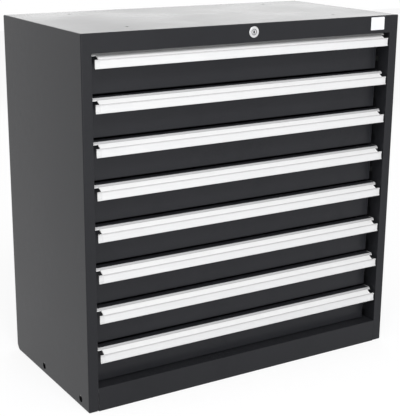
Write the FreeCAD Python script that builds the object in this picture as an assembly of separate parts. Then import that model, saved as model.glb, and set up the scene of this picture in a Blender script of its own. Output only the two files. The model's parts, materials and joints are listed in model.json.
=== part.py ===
import FreeCAD, Part
import math
import os

Vector = FreeCAD.Vector

# A steel tool cabinet with eight equal drawers behind full-width extruded handles.
# Sizes are in millimetres. x runs to the right, y from the front to the back, z up.
# The shapes are drawn from the cabinet's front face, on its centre line and on the floor,
# and each is moved to the origin, below the middle of the whole cabinet, as it is written.

# How far a cutting shape passes the faces that it cuts, and how near two places count as one
overcut = 1.0
same_place = 0.01

# Cabinet body, folded from sheet
body_width = 1000.0
body_depth = 500.0
body_height = 1000.0
body_sheet = 1.5
bend_radius = 3.0
edge_radius = 1.2
stile_width = 29.0
stile_return = 44.0
rail_height = 49.5
rail_return = 15.0
rear_flange = 25.0
base_flange = 25.0
rear_corner_radius = 28.0

# Plinth, bottom and back
plinth_height = 66.1
plinth_seam = 0.3
plinth_foot = 15.0
bottom_skirt = 20.0
bottom_seat = 2.0
back_sheet = 1.2
back_lift = 2.0

# Holes in the body
top_hole_radius = 4.5
top_hole_side_inset = 170.0
top_hole_front_inset = 85.0
top_hole_rear_inset = 65.0
base_hole_radius = 9.5
base_hole_height = 22.0
base_hole_front_inset = 52.0
base_hole_spacing = 244.0

# Rivets that hold the back
rivet_head_radius = 4.5
rivet_head_height = 1.2
rivet_head_round = 0.7
rivet_radius = 2.0
rivet_tail = 3.5
rivet_hole_clearance = 0.1
rivet_side_count = 7
rivet_row_count = 6
rivet_end_inset = 70.0

# Blank plate on the rail
plate_width = 48.0
plate_height = 36.0
plate_thickness = 0.6
plate_corner_radius = 2.0
plate_side_inset = 52.0
plate_drop = 4.0

# Drawers
drawer_count = 8
drawer_gap = 4.5
top_clearance = 0.8
bottom_clearance = 0.8
front_recess = 40.0
drawer_sheet = 1.2
front_fold = 15.0
front_bend_radius = 2.0
top_flange_reach = 19.0
tray_floor_height = 11.4
tray_wall_height = 80.0
tray_rear_space = 20.0
tray_hem = 6.0

# Handle extrusions
handle_proud = 2.5
handle_height = 35.5
handle_wall = 2.0
handle_end_space = 7.5
label_face_height = 22.3
label_face_round = 1.5
ledge_depth = 4.0
notch_length = 11.5
slope_depth = 15.5
slope_rise = 8.7
groove_width = 1.0
groove_depth = 0.8
handle_leg_drop = 21.5
leg_end_inset = 30.0

# Label strips, held in a channel of the handle
channel_lip = 3.0
channel_lip_depth = 0.6
channel_depth = 1.0
channel_undercut = 1.0
label_end_inset = 12.0
label_clearance = 0.1

# Ball slides, three nested members on each side of a drawer
slide_space = 13.0
runner_height = 45.0
runner_sheet = 1.2
runner_play = 0.5
runner_centre_height = 43.4
runner_setback = 16.0
runner_rear_inset = 4.0
outer_flange = 11.2
middle_offset = 3.2
inner_flange = 7.6

# Posts that carry the slides, and the screws that hold them
post_width = 40.0
post_setback = 30.0
post_rear_inset = 20.0
screw_head_radius = 3.8
screw_head_height = 1.4
screw_radius = 2.0
screw_length = 7.0
screw_hole_clearance = 0.3

# Cam lock
lock_drop = 22.5
bezel_radius = 15.0
bezel_height = 3.0
bezel_edge = 0.8
barrel_radius = 11.0
barrel_clearance = 0.2
barrel_reach = 38.0
nut_flats = 27.0
nut_height = 5.0
plug_radius = 7.0
plug_clearance = 0.05
plug_recess = 0.6
plug_tail_radius = 4.0
keyway_width = 1.8
keyway_height = 8.0
keyway_depth = 12.0
cam_clearance = 0.45
cam_thickness = 2.5
cam_radius = 18.0
cam_hub_radius = 8.0
cam_arm_half_width = 5.0
cam_pin_radius = 2.5
cam_screw_radius = 4.5
cam_screw_height = 1.8
half_turn_of_cam = 45.0

# Linkage from the lock to the drawers
link_thickness = 2.5
link_height = 12.0
link_gap = 0.5
link_pad_half_width = 12.0
pin_slot_play = 0.8
pin_slot_foot = 1.5
ramp_pin_radius = 3.0
ramp_play = 0.3
ramp_margin = 4.0
ramp_end_space = 12.0
bar_lift = 10.5
bar_thickness = 3.0
bar_width = 16.0
bar_inset = 3.0
bar_seat = 0.3
lug_thickness = 2.5
lug_gap = 0.6
lug_margin = 4.0
hook_thickness = 3.0
hook_height = 8.0
hook_tip_space = 3.0
hook_rise = 67.9
catch_gap = 1.0
catch_thickness = 2.0
catch_width = 10.0
catch_height = 10.0
catch_rise = 78.4

# Guides that carry the linkage
guide_play = 0.3
guide_wall = 1.2
guide_rise = 19.4
guide_height = 14.0
hanger_thickness = 2.0
hanger_width = 20.0
hanger_lip = 3.5
hanger_foot = 14.0
hanger_end_space = 137.0

# What follows from the sizes above
half_width = body_width / 2
inner_half = half_width - body_sheet
opening_half = half_width - stile_width
rail_bottom = body_height - rail_height
back_face = body_depth - body_sheet
back_inner = back_face - back_sheet
inner_bend = bend_radius - body_sheet
front_face = front_recess
drawer_half = opening_half - slide_space
drawer_pitch = (rail_bottom - plinth_height - top_clearance - bottom_clearance + drawer_gap) / drawer_count
front_height = drawer_pitch - drawer_gap
tray_front = front_face + drawer_sheet
tray_rear = body_depth - tray_rear_space
flange_front = front_face - top_flange_reach
handle_half = opening_half - handle_end_space
handle_bottom_rise = front_height - drawer_sheet - handle_height
runner_front = front_face + runner_setback
runner_rear = tray_rear - runner_rear_inset
post_starts = (front_face + post_setback, tray_rear - post_rear_inset - post_width)
lock_height = body_height - lock_drop
cam_front = barrel_reach + cam_clearance
cam_back = cam_front + cam_thickness
pin_shift = cam_radius * math.sin(math.radians(half_turn_of_cam))
pin_rest_height = lock_height - cam_radius * math.cos(math.radians(half_turn_of_cam))
pin_low_height = lock_height - cam_radius
link_travel = 2 * pin_shift
link_front = cam_back + link_gap
link_back = link_front + link_thickness
link_bottom = pin_low_height - cam_pin_radius - pin_slot_play - pin_slot_foot
ramp_pin_x = inner_half - ramp_end_space - link_travel - ramp_pin_radius
ramp_pin_z = link_bottom + ramp_margin + ramp_pin_radius
bar_outer = opening_half + bar_inset + bar_thickness
bar_inner = opening_half + bar_inset
bar_front = link_back + lug_thickness
bar_back = bar_front + bar_width
catch_front = bar_front + hook_thickness + catch_gap


def block(x0, x1, y0, y1, z0, z1):
    """A box between two opposite corners."""
    return Part.makeBox(x1 - x0, y1 - y0, z1 - z0, Vector(x0, y0, z0))


def side_block(side, u0, u1, y0, y1, z0, z1):
    """A box whose distance from the centre plane is u0 to u1, to the right (1) or the left (-1)."""
    if side > 0:
        return block(u0, u1, y0, y1, z0, z1)
    return block(-u1, -u0, y0, y1, z0, z1)


def rod_along_x(radius, x0, x1, y, z):
    return Part.makeCylinder(radius, x1 - x0, Vector(x0, y, z), Vector(1, 0, 0))


def rod_along_y(radius, y0, y1, x, z):
    return Part.makeCylinder(radius, y1 - y0, Vector(x, y0, z), Vector(0, 1, 0))


def rod_along_z(radius, z0, z1, x, y):
    return Part.makeCylinder(radius, z1 - z0, Vector(x, y, z0), Vector(0, 0, 1))


def fused(shapes):
    """One solid from shapes that meet, without seams on its flat faces."""
    whole = shapes[0].fuse(shapes[1:]) if len(shapes) > 1 else shapes[0]
    whole = whole.removeSplitter()
    return whole.Solids[0] if len(whole.Solids) == 1 else whole


def rounded(shape, radius, chosen):
    """The shape with a round of this radius on each edge that the test chooses by its middle."""
    edges = [edge for edge in shape.Edges if chosen(edge.CenterOfMass)]
    return shape.makeFillet(radius, edges)


def extruded_along_x(points, x0, x1):
    """A prism with this outline of (y, z) points."""
    corners = [Vector(x0, y, z) for y, z in points]
    wire = Part.makePolygon(corners + corners[:1])
    return Part.Face(wire).extrude(Vector(x1 - x0, 0, 0))


def near(value, target):
    return abs(value - target) < same_place


def drawer_bottom(number):
    """Height of a drawer front's lower edge; drawer 1 is the top one."""
    return plinth_height + bottom_clearance + (drawer_count - number) * drawer_pitch


def spread(first, last, count):
    """Evenly spaced places, both ends included."""
    return [first + (last - first) * index / (count - 1) for index in range(count)]


def rounded_case(inset):
    """The body's outside, or its inside where it is inset by the sheet's thickness."""
    radius = bend_radius - inset
    case = block(-half_width + inset, half_width - inset, inset, body_depth - inset,
                 inset, body_height - inset)
    return case.makeFillet(radius, case.Edges)


def body_shell():
    """The folded shell before it is parted: stiles, rail, sides, top and flanges."""
    shell = rounded_case(0).cut(rounded_case(body_sheet))
    over = bend_radius + overcut
    front_window = block(-opening_half, opening_half, -overcut, over, -overcut, rail_bottom)
    rear_window = block(-half_width + rear_flange, half_width - rear_flange,
                        body_depth - over, body_depth + overcut, -overcut, body_height - rear_flange)
    base_window = block(-half_width + base_flange, half_width - base_flange,
                        -overcut, body_depth + overcut, -overcut, over)
    return shell.cut([front_window, rear_window, base_window])


def rivet_places():
    """Where the back is riveted: (x, z) on the side and top flanges, then on the bottom's skirt."""
    flange_middle = half_width - rear_flange / 2
    heights = spread(rivet_end_inset, body_height - rivet_end_inset, rivet_side_count)
    widths = spread(-half_width + 2 * rivet_end_inset, half_width - 2 * rivet_end_inset, rivet_row_count)
    on_flanges = [(side * flange_middle, z) for side in (-1, 1) for z in heights]
    on_flanges += [(x, body_height - rear_flange / 2) for x in widths]
    on_skirt = [(x, plinth_height - body_sheet - bottom_skirt / 2) for x in widths]
    return on_flanges, on_skirt


def rivet_holes():
    on_flanges, on_skirt = rivet_places()
    radius = rivet_radius + rivet_hole_clearance
    return [rod_along_y(radius, back_inner - rivet_tail - overcut, body_depth + overcut, x, z)
            for x, z in on_flanges + on_skirt]


def side_panel(side):
    """Side sheet with its front stile and return, and its rear, top and base flanges."""
    region = side_block(side, opening_half, half_width, 0, body_depth, 0, body_height)
    panel = body_shell().common(region)
    inner_return = side_block(side, opening_half, opening_half + body_sheet, body_sheet / 2, stile_return,
                              body_sheet / 2, rail_bottom)
    panel = fused([panel, inner_return])
    inner_edge = side_block(side, opening_half, opening_half + edge_radius, 0, edge_radius,
                            -overcut, rail_bottom)
    edge_round = rod_along_z(edge_radius, -overcut, rail_bottom,
                             side * (opening_half + edge_radius), edge_radius)
    corner = side_block(side, 0, half_width + overcut, body_depth - rear_corner_radius,
                        body_depth + overcut, -overcut, rear_corner_radius)
    corner_round = rod_along_x(rear_corner_radius, -half_width - 2 * overcut, half_width + 2 * overcut,
                               body_depth - rear_corner_radius, rear_corner_radius)
    through = body_sheet + overcut
    holes = [rod_along_x(base_hole_radius, side * half_width - through, side * half_width + through,
                         base_hole_front_inset + step * base_hole_spacing, base_hole_height)
             for step in (0, 1)]
    cuts = [inner_edge.cut(edge_round), corner.cut(corner_round)]
    return panel.cut(cuts + holes + rivet_holes())


def top_panel():
    """Top sheet whose front is folded down as the rail and whose rear edge has a flange."""
    region = block(-opening_half, opening_half, 0, body_depth, rail_bottom - rear_flange, body_height)
    panel = body_shell().common(region)
    lower_return = block(-opening_half, opening_half, body_sheet / 2, rail_return,
                         rail_bottom, rail_bottom + body_sheet)
    panel = fused([panel, lower_return])
    lower_edge = block(-opening_half, opening_half, 0, edge_radius, rail_bottom, rail_bottom + edge_radius)
    edge_round = rod_along_x(edge_radius, -opening_half, opening_half,
                             edge_radius, rail_bottom + edge_radius)
    through = body_sheet + overcut
    lock_hole = rod_along_y(barrel_radius + barrel_clearance, -overcut, through, 0, lock_height)
    top_holes = [rod_along_z(top_hole_radius, body_height - through, body_height + through, x, y)
                 for x in (-half_width + top_hole_side_inset, half_width - top_hole_side_inset)
                 for y in (top_hole_front_inset, body_depth - top_hole_rear_inset)]
    return panel.cut([lower_edge.cut(edge_round), lock_hole] + top_holes + rivet_holes())


def back_panel():
    half = inner_half - inner_bend
    panel = block(-half, half, back_inner, back_face,
                  rear_corner_radius + back_lift, body_height - bend_radius)
    return panel.cut(rivet_holes())


def bottom_panel():
    """Floor of the body, with a skirt turned down at each side and at the back."""
    front = stile_return + bottom_seat
    rear = body_depth - bend_radius
    top = plinth_height
    low = top - body_sheet - bottom_skirt
    floor = block(-inner_half, inner_half, front, rear, top - body_sheet, top)
    skirts = [side_block(side, inner_half - body_sheet, inner_half, front, rear, low, top)
              for side in (-1, 1)]
    rear_skirt = block(-inner_half, inner_half, rear - body_sheet, rear, low, top)
    return fused([floor, rear_skirt] + skirts).cut(rivet_holes())


def plinth():
    """Kick plate between the stiles, with a shelf folded back above and a foot below."""
    half = opening_half - plinth_seam
    shelf_rear = stile_return + bottom_seat
    face = block(-half, half, 0, body_sheet, 0, plinth_height)
    shelf = block(-half, half, 0, shelf_rear, plinth_height - body_sheet, plinth_height)
    foot = block(-half, half, 0, plinth_foot, 0, body_sheet)
    plate = fused([face, shelf, foot])
    return rounded(plate, edge_radius, lambda middle: near(middle.y, 0) and near(middle.z, plinth_height))


def runner_posts():
    """Two channel posts on each side, open to the side panel."""
    low = plinth_height
    high = body_height - bend_radius
    posts = []
    for side in (-1, 1):
        for start in post_starts:
            channel = side_block(side, opening_half, inner_half, start, start + post_width, low, high)
            hollow = side_block(side, opening_half + body_sheet, inner_half, start + body_sheet,
                                start + post_width - body_sheet, low, high)
            posts.append(channel.cut([hollow] + screw_holes(side)))
    return Part.makeCompound(posts)


def screw_places():
    """Where each slide is screwed to its posts: (y, z)."""
    return [(start + post_width / 2, drawer_bottom(number) + runner_centre_height)
            for start in post_starts for number in range(1, drawer_count + 1)]


def screw_holes(side):
    radius = screw_radius + screw_hole_clearance
    middle = side * opening_half
    return [rod_along_x(radius, middle - slide_space / 2, middle + slide_space / 2, y, z)
            for y, z in screw_places()]


def runner_screws():
    """Low pan heads inside the slides' outer members, with their shanks through the posts."""
    seat = opening_half - runner_sheet
    screws = []
    for side in (-1, 1):
        for y, z in screw_places():
            head = Part.makeCylinder(screw_head_radius, screw_head_height,
                                     Vector(side * seat, y, z), Vector(-side, 0, 0))
            shank = Part.makeCylinder(screw_radius, screw_length,
                                      Vector(side * seat, y, z), Vector(side, 0, 0))
            screws.append(fused([head, shank]))
    return Part.makeCompound(screws)


def channel_member(side, web_at, reach, half_height, centre):
    """A slide member: a web at web_at from the centre plane, with flanges that reach from it."""
    web = sorted((web_at, web_at + math.copysign(runner_sheet, reach)))
    flange = sorted((web_at, web_at + reach))
    parts = [side_block(side, web[0], web[1], runner_front, runner_rear,
                        centre - half_height, centre + half_height)]
    for low in (centre - half_height, centre + half_height - runner_sheet):
        parts.append(side_block(side, flange[0], flange[1], runner_front, runner_rear,
                                low, low + runner_sheet))
    return fused(parts)


def cabinet_runners():
    """The slides' outer members, on the posts."""
    members = []
    for number in range(1, drawer_count + 1):
        centre = drawer_bottom(number) + runner_centre_height
        for side in (-1, 1):
            member = channel_member(side, opening_half, -outer_flange, runner_height / 2, centre)
            members.append(member.cut(screw_holes(side)))
    return Part.makeCompound(members)


def middle_runners(number):
    """The members that run between the cabinet's and the drawer's, one on each side."""
    centre = drawer_bottom(number) + runner_centre_height
    half_height = runner_height / 2 - runner_sheet - runner_play
    reach = outer_flange - middle_offset
    return Part.makeCompound([channel_member(side, opening_half - middle_offset, -reach, half_height, centre)
                              for side in (-1, 1)])


def drawer_runners(number):
    """The members fixed to the drawer's sides."""
    centre = drawer_bottom(number) + runner_centre_height
    half_height = runner_height / 2 - 2 * runner_sheet - 2 * runner_play
    return Part.makeCompound([channel_member(side, drawer_half, inner_flange, half_height, centre)
                              for side in (-1, 1)])


def drawer_front(low):
    """Front pan folded back at its sides and foot, and forward at its top over the handle."""
    high = low + front_height
    rear = front_face + front_fold
    pan = block(-drawer_half, drawer_half, front_face, rear, low, high)
    pan = rounded(pan, front_bend_radius,
                  lambda middle: near(middle.y, front_face) and not near(middle.z, high))
    inner = block(-drawer_half + drawer_sheet, drawer_half - drawer_sheet, tray_front, rear,
                  low + drawer_sheet, high)
    inner = rounded(inner, front_bend_radius - drawer_sheet,
                    lambda middle: near(middle.y, tray_front) and not near(middle.z, high))
    flange = block(-drawer_half, drawer_half, flange_front, tray_front, high - drawer_sheet, high)
    return [pan.cut(inner), flange]


def drawer_box(number):
    """Welded drawer: front, floor, walls with hemmed rims, and the catch for the lock bar."""
    low = drawer_bottom(number)
    floor = low + tray_floor_height
    rim = floor + tray_wall_height
    half = drawer_half
    parts = drawer_front(low)
    parts.append(block(-half, half, tray_front, tray_rear, floor, floor + drawer_sheet))
    parts.append(block(-half, half, tray_rear - drawer_sheet, tray_rear, floor, rim))
    parts.append(block(-half, half, tray_rear - tray_hem, tray_rear, rim - drawer_sheet, rim))
    for side in (-1, 1):
        start = tray_front + front_fold / 2
        parts.append(side_block(side, half - drawer_sheet, half, start, tray_rear, floor, rim))
        parts.append(side_block(side, half - tray_hem, half, start, tray_rear, rim - drawer_sheet, rim))
    parts.append(block(half, half + catch_width, catch_front, catch_front + catch_thickness,
                       low + catch_rise, low + catch_rise + catch_height))
    return fused(parts)


def drawer_handle(number):
    """Extrusion: label face, slope, upper band, web under the drawer's flange, leg cut short at its ends."""
    low = drawer_bottom(number) + handle_bottom_rise
    face = -handle_proud
    face_depth = channel_lip_depth + channel_depth + handle_wall / 2
    ledge_top = low + label_face_height
    ledge_rear = face + ledge_depth
    top = low + handle_height
    groove_y = ledge_rear + slope_depth
    groove_z = ledge_top + slope_rise
    band_run = flange_front - groove_y
    band_rise = top - groove_z
    slope_wall = handle_wall * math.hypot(slope_depth, slope_rise) / slope_depth
    band_wall = handle_wall * math.hypot(band_run, band_rise) / band_run
    corner_run = (band_wall - slope_wall) / (band_rise / band_run - slope_rise / slope_depth)
    outline = [(face, low), (face, ledge_top), (ledge_rear, ledge_top), (groove_y, groove_z),
               (flange_front, top), (front_face, top), (front_face, top - handle_leg_drop),
               (front_face - handle_wall, top - handle_leg_drop),
               (front_face - handle_wall, top - handle_wall),
               (flange_front + (band_wall - handle_wall) * band_run / band_rise, top - handle_wall),
               (groove_y + corner_run, groove_z + corner_run * band_rise / band_run - band_wall),
               (ledge_rear + (slope_wall - handle_wall) * slope_depth / slope_rise, ledge_top - handle_wall),
               (face + face_depth, ledge_top - handle_wall), (face + face_depth, low)]
    body = rounded(extruded_along_x(outline, -handle_half, handle_half), label_face_round,
                   lambda middle: near(middle.y, face) and near(middle.z, ledge_top))
    channel_low = low + channel_lip
    channel_high = ledge_top - channel_lip
    mouth = block(-handle_half, handle_half, face, face + channel_lip_depth, channel_low, channel_high)
    pocket = block(-handle_half, handle_half, face + channel_lip_depth,
                   face + channel_lip_depth + channel_depth,
                   channel_low - channel_undercut, channel_high + channel_undercut)
    groove = extruded_along_x([(groove_y - groove_width / 2, groove_z + overcut),
                               (groove_y, groove_z - groove_depth),
                               (groove_y + groove_width / 2, groove_z + overcut)],
                              -handle_half, handle_half)
    notches = [side_block(side, handle_half - notch_length, handle_half + overcut, ledge_rear, groove_y,
                          ledge_top - slope_wall, top + overcut) for side in (-1, 1)]
    leg_ends = [side_block(side, handle_half - leg_end_inset, handle_half + overcut,
                           front_face - handle_wall, front_face + overcut,
                           top - handle_leg_drop - overcut, top - handle_wall) for side in (-1, 1)]
    return body.cut([mouth, pocket, groove] + notches + leg_ends)


def drawer_label(number):
    """Blank label strip in the handle's channel."""
    low = drawer_bottom(number) + handle_bottom_rise
    half = handle_half - label_end_inset
    back = -handle_proud + channel_lip_depth + channel_depth
    front = back - channel_depth + label_clearance
    reach = channel_undercut - label_clearance
    return block(-half, half, front, back, low + channel_lip - reach,
                 low + label_face_height - channel_lip + reach)


def back_rivets():
    on_flanges, on_skirt = rivet_places()
    rivets = []
    for seat, places in ((body_depth, on_flanges), (back_face, on_skirt)):
        for x, z in places:
            head = rod_along_y(rivet_head_radius, seat, seat + rivet_head_height, x, z)
            head = rounded(head, rivet_head_round, lambda middle: near(middle.y, seat + rivet_head_height))
            rivets.append(fused([head, rod_along_y(rivet_radius, back_inner - rivet_tail, seat, x, z)]))
    return Part.makeCompound(rivets)


def blank_plate():
    right = half_width - plate_side_inset
    high = body_height - plate_drop
    plate = block(right - plate_width, right, -plate_thickness, 0, high - plate_height, high)
    return rounded(plate, plate_corner_radius, lambda middle: near(middle.y, -plate_thickness / 2))


def lock_housing():
    """Bezel on the rail's face and barrel through it."""
    bezel = rod_along_y(bezel_radius, -bezel_height, 0, 0, lock_height)
    bezel = rounded(bezel, bezel_edge, lambda middle: near(middle.y, -bezel_height))
    barrel = rod_along_y(barrel_radius, 0, barrel_reach, 0, lock_height)
    bore = rod_along_y(plug_radius + plug_clearance, -bezel_height - overcut, barrel_reach + overcut,
                       0, lock_height)
    return fused([bezel, barrel]).cut(bore)


def lock_nut():
    """Hexagonal nut that pulls the bezel against the rail."""
    corner = nut_flats / math.sqrt(3)
    angles = [math.radians(30 + 60 * step) for step in range(6)]
    points = [Vector(corner * math.cos(a), body_sheet, lock_height + corner * math.sin(a)) for a in angles]
    nut = Part.Face(Part.makePolygon(points + points[:1])).extrude(Vector(0, nut_height, 0))
    bore = rod_along_y(barrel_radius + barrel_clearance / 2, 0, body_sheet + nut_height + overcut,
                       0, lock_height)
    return nut.cut(bore)


def lock_plug():
    """Core with its keyway, and the tail that the cam sits on."""
    front = -bezel_height + plug_recess
    core = rod_along_y(plug_radius, front, cam_front, 0, lock_height)
    tail = rod_along_y(plug_tail_radius, cam_front, cam_back, 0, lock_height)
    keyway = block(-keyway_width / 2, keyway_width / 2, front - overcut, front + keyway_depth,
                   lock_height - keyway_height / 2, lock_height + keyway_height / 2)
    return fused([core, tail]).cut(keyway)


def lock_cam():
    """Arm turned by the plug, with the pin that drives the link."""
    arm = block(-cam_arm_half_width, cam_arm_half_width, cam_front, cam_back,
                lock_height - cam_radius, lock_height)
    hub = rod_along_y(cam_hub_radius, cam_front, cam_back, 0, lock_height)
    tip = rod_along_y(cam_arm_half_width, cam_front, cam_back, 0, lock_height - cam_radius)
    pin = rod_along_y(cam_pin_radius, cam_front, link_back + link_gap, 0, lock_height - cam_radius)
    bore = rod_along_y(plug_tail_radius + plug_clearance, cam_front - overcut, cam_back + overcut,
                       0, lock_height)
    cam = fused([arm, hub, tip, pin]).cut(bore)
    cam.rotate(Vector(0, 0, lock_height), Vector(0, 1, 0), -half_turn_of_cam)
    return cam


def cam_screw():
    """Screw head that holds the cam on the plug's tail."""
    return rod_along_y(cam_screw_radius, cam_back, cam_back + cam_screw_height, 0, lock_height)


def slot_between(first, last, radius, y0, y1):
    """A round-ended slot through y0 to y1 between two (x, z) points."""
    (x0, z0), (x1, z1) = first, last
    length = math.hypot(x1 - x0, z1 - z0)
    side_x = -(z1 - z0) / length * radius
    side_z = (x1 - x0) / length * radius
    points = [Vector(x0 + side_x, y0, z0 + side_z), Vector(x1 + side_x, y0, z1 + side_z),
              Vector(x1 - side_x, y0, z1 - side_z), Vector(x0 - side_x, y0, z0 - side_z)]
    middle = Part.Face(Part.makePolygon(points + points[:1])).extrude(Vector(0, y1 - y0, 0))
    ends = [rod_along_y(radius, y0, y1, x, z) for x, z in (first, last)]
    return middle.fuse(ends)


def lock_link():
    """Flat link behind the rail: an upright slot for the cam's pin, a ramp slot for the lock bar."""
    strip_top = link_bottom + link_height
    ramp_low = ramp_pin_z - ramp_pin_radius - ramp_margin
    ramp_high = ramp_pin_z + bar_lift + ramp_pin_radius + ramp_margin
    ramp_left = ramp_pin_x - ramp_pin_radius - ramp_margin
    ramp_right = ramp_pin_x + link_travel + ramp_pin_radius + ramp_margin
    pad_top = pin_rest_height + cam_pin_radius + ramp_margin
    strip = block(pin_shift, ramp_right, link_front, link_back, link_bottom, strip_top)
    pad = block(pin_shift - link_pad_half_width, pin_shift + link_pad_half_width,
                link_front, link_back, link_bottom, pad_top)
    plate = block(ramp_left, ramp_right, link_front, link_back, ramp_low, ramp_high)
    pin_room = cam_pin_radius + pin_slot_play
    pin_slot = slot_between((pin_shift, pin_low_height), (pin_shift, pin_rest_height), pin_room,
                            link_front - overcut, link_back + overcut)
    ramp_slot = slot_between((ramp_pin_x, ramp_pin_z), (ramp_pin_x + link_travel, ramp_pin_z + bar_lift),
                             ramp_pin_radius + ramp_play, link_front - overcut, link_back + overcut)
    return fused([strip, pad, plate]).cut([pin_slot, ramp_slot])


def lock_bar():
    """Upright bar at the right, with a hook for each drawer and a lug whose pin rides the ramp."""
    lug_low = ramp_pin_z - ramp_pin_radius - lug_margin
    lug_high = ramp_pin_z + ramp_pin_radius + lug_margin
    bar = block(bar_inner, bar_outer, bar_front, bar_back, plinth_height + bar_seat, lug_high)
    lug = block(ramp_pin_x - ramp_pin_radius - lug_margin, bar_outer,
                link_back + lug_gap, bar_front + lug_gap, lug_low, lug_high)
    pin = rod_along_y(ramp_pin_radius, link_front - lug_gap, bar_front, ramp_pin_x, ramp_pin_z)
    hooks = [block(drawer_half + hook_tip_space, bar_inner, bar_front, bar_front + hook_thickness,
                   drawer_bottom(number) + hook_rise, drawer_bottom(number) + hook_rise + hook_height)
             for number in range(1, drawer_count + 1)]
    return fused([bar, lug, pin] + hooks)


def lock_guides():
    """Blocks on the right side panel that guide the bar, and hangers under the top for the link."""
    guides = []
    for number in (1, (drawer_count + 1) // 2, drawer_count):
        low = drawer_bottom(number) + guide_rise
        high = low + guide_height
        guide = block(bar_inner - guide_play - guide_wall, inner_half, bar_front - guide_play - guide_wall,
                      bar_back + guide_play + guide_wall, low, high)
        slot = block(bar_inner - guide_play, bar_outer + guide_play, bar_front - guide_play,
                     bar_back + guide_play, low - overcut, high + overcut)
        guides.append(guide.cut(slot))
    roof = body_height - body_sheet
    front = link_front - guide_play - hanger_thickness
    rear = link_back + guide_play + hanger_thickness
    low = link_bottom - guide_play - hanger_thickness
    for middle in (hanger_end_space, ramp_pin_x - hanger_end_space):
        left = middle - hanger_width / 2
        right = middle + hanger_width / 2
        plate = block(left, right, rear - hanger_thickness, rear, low, roof)
        sole = block(left, right, front, rear, low, low + hanger_thickness)
        lip = block(left, right, front, front + hanger_thickness, low, low + hanger_thickness + hanger_lip)
        foot = block(left, right, rear - hanger_thickness, rear + hanger_foot, roof - hanger_thickness, roof)
        guides.append(fused([plate, sole, lip, foot]))
    return Part.makeCompound(guides)


def all_parts():
    """Each sub-part's name and shape."""
    yield "side_left", side_panel(-1)
    yield "side_right", side_panel(1)
    yield "top_panel", top_panel()
    yield "back_panel", back_panel()
    yield "bottom_panel", bottom_panel()
    yield "plinth", plinth()
    yield "runner_posts", runner_posts()
    yield "cabinet_runners", cabinet_runners()
    yield "runner_screws", runner_screws()
    yield "back_rivets", back_rivets()
    yield "blank_plate", blank_plate()
    yield "lock_housing", lock_housing()
    yield "lock_nut", lock_nut()
    yield "lock_plug", lock_plug()
    yield "lock_cam", lock_cam()
    yield "cam_screw", cam_screw()
    yield "lock_link", lock_link()
    yield "lock_bar", lock_bar()
    yield "lock_guides", lock_guides()
    for number in range(1, drawer_count + 1):
        yield "drawer_%d_box" % number, drawer_box(number)
        yield "drawer_%d_handle" % number, drawer_handle(number)
        yield "drawer_%d_label" % number, drawer_label(number)
        yield "drawer_%d_runners" % number, drawer_runners(number)
        yield "middle_runners_%d" % number, middle_runners(number)


def write_parts():
    """Each sub-part as a STEP file, moved so that the origin is below the middle of the whole."""
    os.makedirs("parts", exist_ok=True)
    front_most = -max(handle_proud, bezel_height, plate_thickness)
    rear_most = body_depth + rivet_head_height
    to_origin = Vector(0, -(front_most + rear_most) / 2, 0)
    for name, shape in all_parts():
        shape.translate(to_origin)
        shape.exportStep("parts/%s.step" % name)
        print(name, len(shape.Solids), round(shape.Volume / 1000, 1), "cm3", shape.isValid())


write_parts()
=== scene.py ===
"""A steel tool cabinet with eight drawers: its finishes, its small fittings, the light and the camera."""

import json
import math

import bmesh
import bpy
from mathutils import Matrix, Vector

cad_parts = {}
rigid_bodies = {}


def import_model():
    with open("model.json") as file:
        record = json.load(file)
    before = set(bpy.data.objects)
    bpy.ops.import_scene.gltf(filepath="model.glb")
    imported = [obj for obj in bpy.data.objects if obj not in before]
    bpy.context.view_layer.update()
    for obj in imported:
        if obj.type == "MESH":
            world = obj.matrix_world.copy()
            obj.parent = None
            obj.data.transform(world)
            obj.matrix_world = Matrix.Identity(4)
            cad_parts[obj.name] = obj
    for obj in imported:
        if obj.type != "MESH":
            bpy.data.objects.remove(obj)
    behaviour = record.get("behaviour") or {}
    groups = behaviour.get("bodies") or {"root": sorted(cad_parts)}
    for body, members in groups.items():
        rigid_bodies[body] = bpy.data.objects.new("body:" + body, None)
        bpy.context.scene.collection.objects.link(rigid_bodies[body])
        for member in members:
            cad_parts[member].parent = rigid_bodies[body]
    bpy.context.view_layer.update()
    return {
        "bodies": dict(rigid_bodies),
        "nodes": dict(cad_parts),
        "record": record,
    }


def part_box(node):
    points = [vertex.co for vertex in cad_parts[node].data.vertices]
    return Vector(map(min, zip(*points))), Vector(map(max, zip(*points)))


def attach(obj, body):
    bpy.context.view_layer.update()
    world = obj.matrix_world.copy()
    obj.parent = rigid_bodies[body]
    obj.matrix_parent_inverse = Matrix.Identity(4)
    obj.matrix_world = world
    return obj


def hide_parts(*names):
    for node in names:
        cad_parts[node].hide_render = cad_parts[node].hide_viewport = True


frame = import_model()


# Finishes. Every pattern is measured in metres on the object.

# A mix node's factor and two colours lie at these places among its inputs, and the mixed colour here.
mix_inputs = (0, 6, 7)
mix_output = 2


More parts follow.
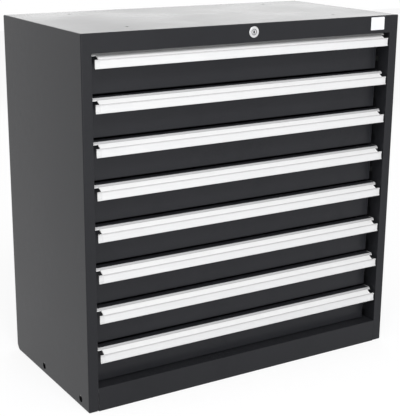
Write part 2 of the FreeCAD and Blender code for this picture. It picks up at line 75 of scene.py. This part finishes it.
class Finish:
    """A node material as it is put together: its shader, and the place on the object that patterns read."""

    def __init__(self, name, **values):
        self.material = bpy.data.materials.new(name)
        self.material.use_nodes = True
        self.tree = self.material.node_tree
        self.tree.nodes.clear()
        self.shader = self.node("ShaderNodeBsdfPrincipled")
        output = self.node("ShaderNodeOutputMaterial")
        self.tree.links.new(self.shader.outputs["BSDF"], output.inputs["Surface"])
        self.place = self.node("ShaderNodeTexCoord").outputs["Object"]
        for key, value in values.items():
            self.give(key.replace("_", " ").title().replace("Ior", "IOR"), value)

    def node(self, kind, inputs=None, **settings):
        """A node with its settings, and its inputs by name, each a value or another node's output."""
        made = self.tree.nodes.new(kind)
        for key, value in settings.items():
            setattr(made, key, value)
        for key, value in (inputs or {}).items():
            self.feed(made.inputs[key], value)
        return made

    def feed(self, socket, value):
        if isinstance(value, bpy.types.NodeSocket):
            self.tree.links.new(value, socket)
        else:
            socket.default_value = value

    def give(self, socket, value):
        self.feed(self.shader.inputs[socket], value)

    def stretched(self, scale):
        """The place on the object, drawn out or pressed together along each axis."""
        return self.node("ShaderNodeMapping", {"Vector": self.place, "Scale": scale}).outputs["Vector"]

    def noise(self, scale, detail=2.0, place=None):
        return self.node("ShaderNodeTexNoise", {"Vector": place or self.place, "Scale": scale,
                                                "Detail": detail}).outputs["Fac"]

    def ranged(self, amount, low, high, start=0.3, end=0.7):
        """A pattern's middle values, spread from low to high."""
        return self.node("ShaderNodeMapRange", {"Value": amount, "From Min": start, "From Max": end,
                                                "To Min": low, "To Max": high}).outputs["Result"]

    def step(self, amount, start, width):
        """0 up to the start, and 1 once this width past it."""
        return self.ranged(amount, 0.0, 1.0, start, start + width)

    def mixed(self, amount, first, second):
        """One colour where the amount is 0 and the other where it is 1."""
        mix = self.node("ShaderNodeMix", data_type="RGBA")
        for index, value in zip(mix_inputs, (amount, first, second)):
            self.feed(mix.inputs[index], value)
        return mix.outputs[mix_output]

    def summed(self, first, second, operation="ADD"):
        math_node = self.node("ShaderNodeMath", operation=operation)
        self.feed(math_node.inputs[0], first)
        self.feed(math_node.inputs[1], second)
        return math_node.outputs["Value"]

    def relief(self, height, depth):
        """Bumps as deep as this, in metres."""
        bump = self.node("ShaderNodeBump", {"Height": height, "Distance": depth, "Strength": 1.0})
        self.give("Normal", bump.outputs["Normal"])


def powder_coat(name, dark, light):
    """Fine-textured powder coat: small grains, a slight orange peel, and cloudy gloss."""
    coat = Finish(name, specular_ior_level=0.15)
    grain = coat.noise(1400.0, 3.0)
    peel = coat.noise(260.0, 1.0)
    cloud = coat.noise(4.0, 3.0)
    tone = coat.summed(coat.ranged(grain, 0.0, 0.6), coat.ranged(cloud, 0.0, 0.4))
    coat.give("Base Color", coat.mixed(tone, dark, light))
    gloss = coat.summed(coat.ranged(cloud, 0.24, 0.29), coat.ranged(grain, 0.0, 0.04))
    coat.give("Roughness", gloss)
    coat.relief(coat.summed(coat.summed(grain, 0.35, "MULTIPLY"), peel), 0.00004)
    return coat.material


# The handle's section, in metres above its lower edge. The pattern's count starts a little below that edge.
face_height = 0.0223
face_blend = 0.0004
# Painted shade: a strip this high along the top of the front face, where the label channel's lip shades it.
lip_shade_height = 0.0022
# Above the groove the band is painted grey, as the shade it lies in.
groove_height = 0.031
groove_lip = 0.0010
soft_change = 0.0006
below_handle = 0.01
drawers = [name for name in frame["bodies"] if name.startswith("drawer_")]


def drawn_aluminium(name):
    """Anodised extrusion: fine lines along it, painted shade along the top of its front face under the lip,
    a slope painted lighter than the face where light from above falls on it, and a band painted grey as
    shade above the groove.
    """
    metal = Finish(name, metallic=0.1)
    lines = metal.noise(1.0, 4.0, metal.stretched((1.5, 1800.0, 1800.0)))
    bands = metal.noise(1.0, 2.0, metal.stretched((0.6, 240.0, 240.0)))
    cloud = metal.noise(5.0, 2.0)
    grain = metal.ranged(lines, 0.0, 1.0)
    # The slope is painted lighter than the front face, as painted light where it faces the lamps above.
    lit_slope = metal.mixed(grain, (0.92, 0.92, 0.925, 1), (0.97, 0.97, 0.97, 1))
    face = metal.mixed(grain, (0.67, 0.67, 0.675, 1), (0.72, 0.72, 0.72, 1))
    # Painted shade: the strip under the lip, and the grey band above the groove.
    edge = metal.mixed(grain, (0.50, 0.50, 0.505, 1), (0.56, 0.56, 0.56, 1))
    band_shade = metal.mixed(grain, (0.44, 0.44, 0.45, 1), (0.50, 0.50, 0.505, 1))
    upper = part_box("drawer_1_handle")[0].z
    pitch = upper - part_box("drawer_2_handle")[0].z
    lowest = upper - len(drawers) * pitch - below_handle
    level = metal.summed(metal.node("ShaderNodeSeparateXYZ", {"Vector": metal.place}).outputs["Z"],
                         lowest, "SUBTRACT")
    height = metal.summed(metal.summed(level, pitch, "MODULO"), below_handle, "SUBTRACT")
    # Masks for the painted shade under the lip and over the band above the groove.
    in_lip_shade = metal.step(height, face_height - lip_shade_height, soft_change)
    above_face = metal.step(height, face_height - face_blend / 2, face_blend)
    above_groove = metal.step(height, groove_height - groove_lip, soft_change)
    face_and_lip_shade = metal.mixed(in_lip_shade, face, edge)
    metal.give("Base Color", metal.mixed(above_groove, metal.mixed(above_face, face_and_lip_shade, lit_slope), band_shade))
    gloss = metal.summed(metal.ranged(bands, 0.42, 0.50), metal.ranged(cloud, -0.02, 0.03))
    metal.give("Roughness", gloss)
    metal.relief(lines, 0.00001)
    return metal.material


def paper_under_cover(name):
    """Blank paper strip behind a clear cover."""
    strip = Finish(name, specular_ior_level=0.5, coat_weight=0.6, coat_roughness=0.12)
    fibres = strip.noise(900.0, 3.0)
    cloud = strip.noise(9.0, 2.0)
    tone = strip.summed(strip.ranged(fibres, 0.0, 0.5), strip.ranged(cloud, 0.0, 0.5))
    strip.give("Base Color", strip.mixed(tone, (0.695, 0.70, 0.705, 1), (0.745, 0.747, 0.75, 1)))
    strip.give("Roughness", strip.ranged(fibres, 0.45, 0.6))
    strip.relief(fibres, 0.00001)
    return strip.material


def zinc_plate(name):
    """Bright zinc plating with rolling lines along the slides and a faint cloudy passivation."""
    zinc = Finish(name, metallic=1.0)
    lines = zinc.noise(1.0, 3.0, zinc.stretched((900.0, 2.0, 900.0)))
    cloud = zinc.noise(18.0, 4.0)
    base = zinc.mixed(zinc.ranged(cloud, 0.0, 1.0), (0.56, 0.58, 0.61, 1), (0.68, 0.68, 0.66, 1))
    zinc.give("Base Color", zinc.mixed(zinc.ranged(lines, 0.0, 0.4), base, (0.75, 0.76, 0.77, 1)))
    zinc.give("Roughness", zinc.summed(zinc.ranged(cloud, 0.28, 0.4), zinc.ranged(lines, 0.0, 0.06)))
    zinc.relief(lines, 0.00001)
    return zinc.material


# Each painted shade in the lock fades between two distances, in metres from its axis or behind the plug's
# face.
seam_inner = (0.0062, 0.0068)
seam_outer = (0.0078, 0.0086)
seam_shade = 0.8
keyway_depth = (0.0001, 0.0008)
keyway_reach = (0.0046, 0.0052)
keyway_half_width = (0.0021, 0.0026)
keyway_half_height = (0.0036, 0.0042)


def satin_chrome(name):
    """Satin chrome, turned in rings about the lock's axis, with painted shade in the keyway, over a mouth
    wider than the slot, and in the seam round the plug.
    """
    chrome = Finish(name, metallic=1.0)
    lo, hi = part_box("lock_plug")
    centre = (-(lo.x + hi.x) / 2, 0.0, -(lo.z + hi.z) / 2)
    place = chrome.node("ShaderNodeMapping", {"Vector": chrome.place, "Location": centre}).outputs["Vector"]
    flat = chrome.node("ShaderNodeVectorMath", {0: place, 1: (1.0, 0.0, 1.0)}, operation="MULTIPLY")
    radius = chrome.node("ShaderNodeVectorMath", {0: flat.outputs["Vector"]},
                         operation="LENGTH").outputs["Value"]
    rings = chrome.noise(3000.0, 2.0, chrome.node("ShaderNodeCombineXYZ", {"X": radius}).outputs["Vector"])
    spots = chrome.noise(700.0, 2.0)
    bright = chrome.mixed(chrome.ranged(spots, 0.0, 1.0), (0.70, 0.71, 0.72, 1), (0.78, 0.78, 0.79, 1))
    # Painted shade in the thin seam where the plug meets the bezel.
    seam = chrome.summed(chrome.ranged(radius, 0.0, seam_shade, *seam_inner),
                         chrome.ranged(radius, 1.0, 0.0, *seam_outer), "MULTIPLY")
    # Painted shade inside the keyway, and over its mouth, which is drawn wider than the slot.
    depth = chrome.node("ShaderNodeSeparateXYZ", {"Vector": chrome.place}).outputs["Y"]
    inside = chrome.summed(chrome.ranged(depth, 0.0, 1.0, *(lo.y + behind for behind in keyway_depth)),
                           chrome.ranged(radius, 1.0, 0.0, *keyway_reach), "MULTIPLY")
    across = chrome.node("ShaderNodeVectorMath", {0: flat.outputs["Vector"]}, operation="ABSOLUTE")
    reach = chrome.node("ShaderNodeSeparateXYZ", {"Vector": across.outputs["Vector"]}).outputs
    mouth = chrome.summed(chrome.ranged(reach["X"], 1.0, 0.0, *keyway_half_width),
                          chrome.ranged(reach["Z"], 1.0, 0.0, *keyway_half_height), "MULTIPLY")
    keyway = chrome.summed(inside, mouth, "MAXIMUM")
    shade = chrome.summed(seam, keyway, "MAXIMUM")
    chrome.give("Base Color", chrome.mixed(shade, bright, (0.02, 0.02, 0.022, 1)))
    chrome.give("Roughness", chrome.ranged(rings, 0.16, 0.26))
    chrome.relief(rings, 0.000006)
    return chrome.material


grains_per_cloud = 60.0
gloss_spread = 0.05


def plain_finish(name, dark, light, scale, roughness, depth, **values):
    """A plain material: a fine grain varies its gloss and relief, and wide clouds its colour."""
    plain = Finish(name, **values)
    grain = plain.noise(scale, 3.0)
    cloud = plain.noise(scale / grains_per_cloud)
    plain.give("Base Color", plain.mixed(plain.ranged(cloud, 0.0, 1.0), dark, light))
    plain.give("Roughness", plain.ranged(grain, roughness - gloss_spread, roughness + gloss_spread))
    plain.relief(grain, depth)
    return plain.material


finishes = {
    "anthracite_paint": powder_coat("anthracite_paint", (0.0165, 0.0170, 0.0195, 1),
                                    (0.0225, 0.0231, 0.0262, 1)),
    "drawer_paint": powder_coat("drawer_paint", (0.0220, 0.0226, 0.0262, 1), (0.0300, 0.0308, 0.0352, 1)),
    "handle_aluminium": drawn_aluminium("handle_aluminium"),
    "label_plastic": paper_under_cover("label_plastic"),
    "zinc_steel": zinc_plate("zinc_steel"),
    "rivet_aluminium": plain_finish("rivet_aluminium", (0.55, 0.56, 0.57, 1), (0.66, 0.66, 0.67, 1),
                                    1600.0, 0.4, 0.00001, metallic=1.0),
    "plate_white": plain_finish("plate_white", (0.80, 0.81, 0.83, 1), (0.84, 0.85, 0.86, 1),
                                1200.0, 0.35, 0.00001, coat_weight=0.3),
    "lock_chrome": satin_chrome("lock_chrome"),
    "guide_plastic": plain_finish("guide_plastic", (0.016, 0.016, 0.017, 1), (0.028, 0.028, 0.03, 1),
                                  1100.0, 0.5, 0.00003),
}

for part in frame["record"]["subparts"]:
    finished = frame["nodes"][part["node"]].data.materials
    finished.clear()
    finished.append(finishes[part["material_slot"]])


# Small fittings, each set at its places by a tree of nodes and then kept as one plain mesh for its body.

dome_steps = 7
dome_sides = 20
pin_sides = 14


class FittingTree:
    """A tree that sets one fitting on every spot, turned as the spot says."""

    def __init__(self, name, sizes):
        self.tree = bpy.data.node_groups.new(name, "GeometryNodeTree")
        self.socket("Spots", "INPUT", "Geometry")
        for size in sizes:
            self.socket(size, "INPUT", "Float")
        self.socket("Finish", "INPUT", "Material")
        self.socket("Fittings", "OUTPUT", "Geometry")
        self.given = self.tree.nodes.new("NodeGroupInput").outputs

    def socket(self, name, side, kind):
        self.tree.interface.new_socket(name, in_out=side, socket_type="NodeSocket" + kind)

    def node(self, kind, inputs=None, **settings):
        """A node with its settings, and its inputs by name, each a value or other nodes' outputs."""
        made = self.tree.nodes.new(kind)
        for key, value in settings.items():
            setattr(made, key, value)
        for key, value in (inputs or {}).items():
            for each in value if isinstance(value, list) else [value]:
                if isinstance(each, bpy.types.NodeSocket):
                    self.tree.links.new(each, made.inputs[key])
                else:
                    made.inputs[key].default_value = each
        return made

    def sum(self, operation, *values):
        return self.node("ShaderNodeMath", dict(enumerate(values)), operation=operation).outputs["Value"]

    def upright(self, height):
        return self.node("ShaderNodeCombineXYZ", {"Z": height}).outputs["Vector"]

    def dome(self, radius, height, flat):
        """A head turned about its axis: an elliptic dome with a flat top of this radius."""
        line = self.node("GeometryNodeCurvePrimitiveLine", {"End": (0.0, 0.0, 1.0)}).outputs["Curve"]
        steps = self.node("GeometryNodeResampleCurve", {"Curve": line, "Count": dome_steps}).outputs["Curve"]
        along = self.node("GeometryNodeSplineParameter").outputs["Factor"]
        widest_turn = self.sum("ARCCOSINE", self.sum("DIVIDE", flat, radius))
        angle = self.sum("MULTIPLY", along, widest_turn)
        level = self.sum("DIVIDE", self.sum("SINE", angle), self.sum("SINE", widest_turn))
        place = self.upright(self.sum("MULTIPLY", height, level))
        raised = self.node("GeometryNodeSetPosition", {"Geometry": steps, "Position": place})
        width = self.sum("MULTIPLY", radius, self.sum("COSINE", angle))
        ring = self.node("GeometryNodeCurvePrimitiveCircle", {"Resolution": dome_sides, "Radius": 1.0})
        turned = self.node("GeometryNodeCurveToMesh", {"Curve": raised.outputs["Geometry"], "Scale": width,
                                                       "Profile Curve": ring.outputs["Curve"],
                                                       "Fill Caps": True})
        return turned.outputs["Mesh"]

    def pin(self, radius, low, high):
        """A round pin along the axis between two heights."""
        length = self.sum("SUBTRACT", high, low)
        pin = self.node("GeometryNodeMeshCylinder", {"Vertices": pin_sides, "Radius": radius,
                                                     "Depth": length})
        middle = self.sum("MULTIPLY", self.sum("ADD", high, low), 0.5)
        return self.node("GeometryNodeTransform", {"Geometry": pin.outputs["Mesh"],
                                                   "Translation": self.upright(middle)}).outputs["Geometry"]

    def joined(self, *shapes):
        return self.node("GeometryNodeJoinGeometry", {"Geometry": list(shapes)}).outputs["Geometry"]

    def close(self, fitting):
        """Sets the fitting on the spots and gives it its finish."""
        turn = self.node("GeometryNodeInputNamedAttribute", {"Name": "turn"}, data_type="FLOAT_VECTOR")
        placed = self.node("GeometryNodeInstanceOnPoints", {"Points": self.given["Spots"],
                                                            "Instance": fitting,
                                                            "Rotation": turn.outputs["Attribute"]})
        real = self.node("GeometryNodeRealizeInstances", {"Geometry": placed.outputs["Instances"]})
        painted = self.node("GeometryNodeSetMaterial", {"Geometry": real.outputs["Geometry"],
                                                        "Material": self.given["Finish"]})
        output = self.tree.nodes.new("NodeGroupOutput")
        self.tree.links.new(painted.outputs["Geometry"], output.inputs["Fittings"])
        return self.tree


hole_per_mandrel = 1.5
flat_per_head = 0.55
recess_length_per_width = 4.0


def blind_rivet_tree():
    """A blind rivet: a domed head, the broken end of its mandrel, and the shank behind it."""
    rivet = FittingTree("blind_rivet", ("Head radius", "Head height", "Mandrel radius", "Mandrel height",
                                        "Shank radius", "Shank length"))
    size = rivet.given
    mandrel_hole = rivet.sum("MULTIPLY", size["Mandrel radius"], hole_per_mandrel)
    head = rivet.dome(size["Head radius"], size["Head height"], mandrel_hole)
    mandrel = rivet.pin(size["Mandrel radius"], 0.0, size["Mandrel height"])
    shank = rivet.pin(size["Shank radius"], rivet.sum("MULTIPLY", size["Shank length"], -1.0), 0.0)
    return rivet.close(rivet.joined(head, mandrel, shank))


def pan_screw_tree():
    """A pan head with a cross recess."""
    screw = FittingTree("pan_screw", ("Head radius", "Head height", "Recess width", "Recess depth"))
    size = screw.given
    flat_top = screw.sum("MULTIPLY", size["Head radius"], flat_per_head)
    head = screw.dome(size["Head radius"], size["Head height"], flat_top)
    length = screw.sum("MULTIPLY", size["Recess width"], recess_length_per_width)
    # Each bar's middle lies at the head's top, so half of its depth is in the head.
    depth = screw.sum("MULTIPLY", size["Recess depth"], 2.0)
    bars = []
    for along_x, along_y in ((length, size["Recess width"]), (size["Recess width"], length)):
        extent = screw.node("ShaderNodeCombineXYZ", {"X": along_x, "Y": along_y, "Z": depth})
        bar = screw.node("GeometryNodeMeshCube", {"Size": extent.outputs["Vector"]})
        raised = screw.node("GeometryNodeTransform", {"Geometry": bar.outputs["Mesh"],
                                                      "Translation": screw.upright(size["Head height"])})
        bars.append(raised.outputs["Geometry"])
    cut = screw.node("GeometryNodeMeshBoolean", {"Mesh 1": head, "Mesh 2": bars}, operation="DIFFERENCE")
    return screw.close(cut.outputs["Mesh"])


def set_fittings(name, body, tree, finish, spots, turns, **sizes):
    """One plain mesh with the tree's fitting at each spot, riding on a body."""
    marks = bpy.data.meshes.new(name + "_marks")
    marks.from_pydata(spots, [], [])
    turn = marks.attributes.new("turn", "FLOAT_VECTOR", "POINT")
    for index, angles in enumerate(turns):
        turn.data[index].vector = angles
    source = bpy.data.objects.new(name + "_marks", marks)
    bpy.context.scene.collection.objects.link(source)
    modifier = source.modifiers.new("fittings", "NODES")
    modifier.node_group = tree
    wanted = {key.replace("_", " ").capitalize(): value for key, value in sizes.items()}
    wanted["Finish"] = finishes[finish]
    for item in tree.interface.items_tree:
        if item.item_type == "SOCKET" and item.in_out == "INPUT" and item.name in wanted:
            modifier[item.identifier] = wanted[item.name]
    graph = bpy.context.evaluated_depsgraph_get()
    mesh = bpy.data.meshes.new_from_object(source.evaluated_get(graph), depsgraph=graph)
    source.modifiers.remove(modifier)
    bpy.data.objects.remove(source)
    mesh.name = name
    piece = bpy.data.objects.new(name, mesh)
    bpy.context.scene.collection.objects.link(piece)
    shade_round(mesh)
    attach(piece, body)
    return piece


fitting_merge = 0.00001
solid_merge = 0.000005
sharp_turn = math.radians(40.0)


def shade_round(mesh):
    """Smooth shading, apart from sharp edges."""
    form = bmesh.new()
    form.from_mesh(mesh)
    bmesh.ops.remove_doubles(form, verts=form.verts, dist=fitting_merge)
    bmesh.ops.recalc_face_normals(form, faces=form.faces)
    for face in form.faces:
        face.smooth = True
    for edge in form.edges:
        edge.smooth = len(edge.link_faces) == 2 and edge.calc_face_angle(0.0) < sharp_turn
    form.to_mesh(mesh)
    form.free()


def solids_in(node):
    """(lowest corner, highest corner) of each solid in a CAD node."""
    form = bmesh.new()
    form.from_mesh(frame["nodes"][node].data)
    bmesh.ops.remove_doubles(form, verts=form.verts, dist=solid_merge)
    left = set(form.verts)
    boxes = []
    while left:
        found = [left.pop()]
        for vertex in found:
            for edge in vertex.link_edges:
                other = edge.other_vert(vertex)
                if other in left:
                    left.remove(other)
                    found.append(other)
        boxes.append([Vector(extreme(vertex.co[axis] for vertex in found) for axis in range(3))
                      for extreme in (min, max)])
    form.free()
    return boxes


rivet_rise = 0.0012
rivet_boxes = solids_in("back_rivets")
rivet_spots = [((lo.x + hi.x) / 2, hi.y - rivet_rise, (lo.z + hi.z) / 2) for lo, hi in rivet_boxes]
rivets = set_fittings("back_rivet_heads", "cabinet", blind_rivet_tree(), "rivet_aluminium", rivet_spots,
                      [(-math.pi / 2, 0.0, 0.0)] * len(rivet_spots), head_radius=0.0045, head_height=0.0009,
                      mandrel_radius=0.0011, mandrel_height=rivet_rise, shank_radius=0.002,
                      shank_length=0.0047)
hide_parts("back_rivets")

runner_sheet = 0.0012
runner_screw_places = (0.05, 0.21, 0.37)
screw_tree = pan_screw_tree()
for name in frame["nodes"]:
    if name.startswith("drawer_") and name.endswith("_runners"):
        lo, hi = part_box(name)
        middle = (lo.z + hi.z) / 2
        spots, turns = [], []
        for side in (-1, 1):
            web = min(abs(vertex.co.x) for vertex in frame["nodes"][name].data.vertices) + runner_sheet
            for place in runner_screw_places:
                spots.append((side * web, lo.y + place, middle))
                turns.append((0.0, side * math.pi / 2, 0.0))
        set_fittings(name.replace("_runners", "_runner_screws"), name.replace("_runners", ""), screw_tree,
                     "zinc_steel", spots, turns, head_radius=0.0042, head_height=0.0018,
                     recess_width=0.0009, recess_depth=0.0009)


# Floor, light and camera

floor_half = 8.0
floor_drop = 0.0002
floor_colour = (0.85, 0.85, 0.86, 1)
floor_glow = 0.72
glow_strength = 1.1
world_seen = 1.0
world_light = 0.6
seen_rays = ("Is Camera Ray", "Is Glossy Ray", "Is Transmission Ray")


def seen_share(tree):
    """1 for what the camera sees directly, in metal or through glass, and 0 for what lights the object."""
    path = tree.nodes.new("ShaderNodeLightPath")
    total = path.outputs[seen_rays[0]]
    for name in seen_rays[1:]:
        either = tree.nodes.new("ShaderNodeMath")
        either.operation = "MAXIMUM"
        tree.links.new(total, either.inputs[0])
        tree.links.new(path.outputs[name], either.inputs[1])
        total = either.outputs["Value"]
    return total


world = bpy.data.worlds.new("studio")
bpy.context.scene.world = world
world.use_nodes = True
sky = world.node_tree
background_node = sky.nodes["Background"]
background_node.inputs["Color"].default_value = (1, 1, 1, 1)
level = sky.nodes.new("ShaderNodeMapRange")
sky.links.new(seen_share(sky), level.inputs["Value"])
level.inputs["To Min"].default_value = world_light
level.inputs["To Max"].default_value = world_seen
sky.links.new(level.outputs["Result"], background_node.inputs["Strength"])

floor_mesh = bpy.data.meshes.new("floor")
corners = [(x * floor_half, y * floor_half, -floor_drop) for x, y in ((-1, -1), (1, -1), (1, 1), (-1, 1))]
floor_mesh.from_pydata(corners, [], [(0, 1, 2, 3)])
floor = bpy.data.objects.new("floor", floor_mesh)
bpy.context.scene.collection.objects.link(floor)

floor_finish = bpy.data.materials.new("pale_floor")
floor_finish.use_nodes = True
tree = floor_finish.node_tree
tree.nodes.clear()
matt = tree.nodes.new("ShaderNodeBsdfDiffuse")
matt.inputs["Color"].default_value = floor_colour
glow = tree.nodes.new("ShaderNodeEmission")
glow.inputs["Color"].default_value = (1, 1, 1, 1)
glow.inputs["Strength"].default_value = glow_strength
share = tree.nodes.new("ShaderNodeMath")
share.operation = "MULTIPLY"
tree.links.new(seen_share(tree), share.inputs[0])
share.inputs[1].default_value = floor_glow
both = tree.nodes.new("ShaderNodeMixShader")
tree.links.new(share.outputs["Value"], both.inputs["Fac"])
tree.links.new(matt.outputs["BSDF"], both.inputs[1])
tree.links.new(glow.outputs["Emission"], both.inputs[2])
surface = tree.nodes.new("ShaderNodeOutputMaterial")
tree.links.new(both.outputs["Shader"], surface.inputs["Surface"])
floor_mesh.materials.append(floor_finish)


def softbox(name, place, target, width, height, power):
    """A rectangular lamp at a place, facing a target."""
    lamp = bpy.data.lights.new(name, "AREA")
    lamp.shape = "RECTANGLE"
    lamp.size = width
    lamp.size_y = height
    lamp.energy = power
    stand = bpy.data.objects.new(name, lamp)
    stand.visible_camera = False
    facing = (Vector(target) - Vector(place)).to_track_quat("-Z", "Y")
    stand.matrix_world = Matrix.Translation(place) @ facing.to_matrix().to_4x4()
    bpy.context.scene.collection.objects.link(stand)


softbox("key_softbox", place=(-0.9, -2.4, 3.5), target=(0, 0, 0.6), width=2.4, height=1.6, power=78.0)
softbox("front_softbox", place=(-0.4, -3.6, 0.6), target=(0, 0, 0.3), width=2.6, height=1.2, power=26.0)
softbox("rear_softbox", place=(2.2, 3.4, 1.5), target=(0, 0.1, 1.0), width=3.0, height=1.2, power=17.0)
softbox("left_softbox", place=(-3.2, 0.4, 1.5), target=(-0.5, 0, 0.5), width=2.0, height=2.0, power=12.0)

# The camera's place in metres and its directions, fitted to the edges of the cabinet's body.
eye = Vector((-1.58258, -2.56892, 1.30371))
right = Vector((0.853764, -0.520608, 0.007328))
forward = Vector((0.501957, 0.819276, -0.277175))
focal_pixels = 1059.41
long_side_pixels = 416.0
sensor_millimetres = 36.0

lens = bpy.data.cameras.new("camera")
lens.sensor_width = sensor_millimetres
lens.lens = focal_pixels / long_side_pixels * sensor_millimetres
camera = bpy.data.objects.new("camera", lens)
up = right.cross(forward)
turn = Matrix((right, up, -forward)).transposed()
camera.matrix_world = Matrix.Translation(eye) @ turn.to_4x4()
bpy.context.scene.collection.objects.link(camera)
bpy.context.scene.camera = camera
bpy.context.scene.view_settings.view_transform = "Standard"
